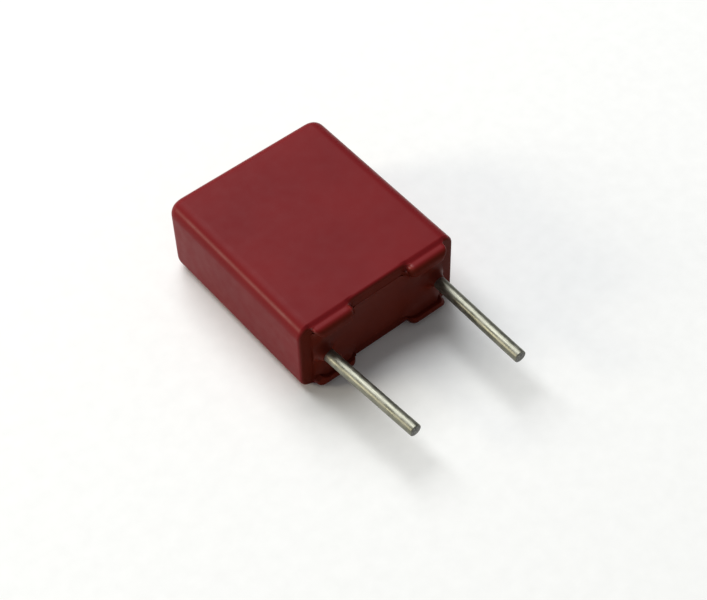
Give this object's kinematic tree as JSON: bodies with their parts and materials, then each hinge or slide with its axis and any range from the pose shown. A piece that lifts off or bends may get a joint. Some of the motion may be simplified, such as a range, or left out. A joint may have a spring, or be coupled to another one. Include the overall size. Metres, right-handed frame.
{
  "type": "box film capacitor",
  "caption": "Small box film capacitor: flat red moulded case with stand-off feet, sealed with cast resin, and round tinned radial leads, lying on a broad face.",
  "frame": {"origin": "middle of the broad face that the case rests on", "axes": "+Y from the feet towards the closed end of the case, so the leads point along -Y; +X along the lead pitch, from the left lead to the right; +Z through the thickness"},
  "size_m": [0.0072, 0.013, 0.0035],
  "materials": {
    "case_plastic": "fine satin moulded polyester, dark red",
    "resin": "cast epoxy, brownish red, self-levelled",
    "film": "metallised polyester film, wound and pressed flat",
    "sprayed_metal": "flame-sprayed zinc, grainy grey",
    "tinned_wire": "dull tinned wire with lengthwise drawing marks"
  },
  "bodies": {
    "root": {"case": "case_plastic", "potting_resin": "resin", "film_winding": "film", "end_contact_left": "sprayed_metal", "end_contact_right": "sprayed_metal", "lead_left": "tinned_wire", "lead_right": "tinned_wire"}
  },
  "joints": []
}
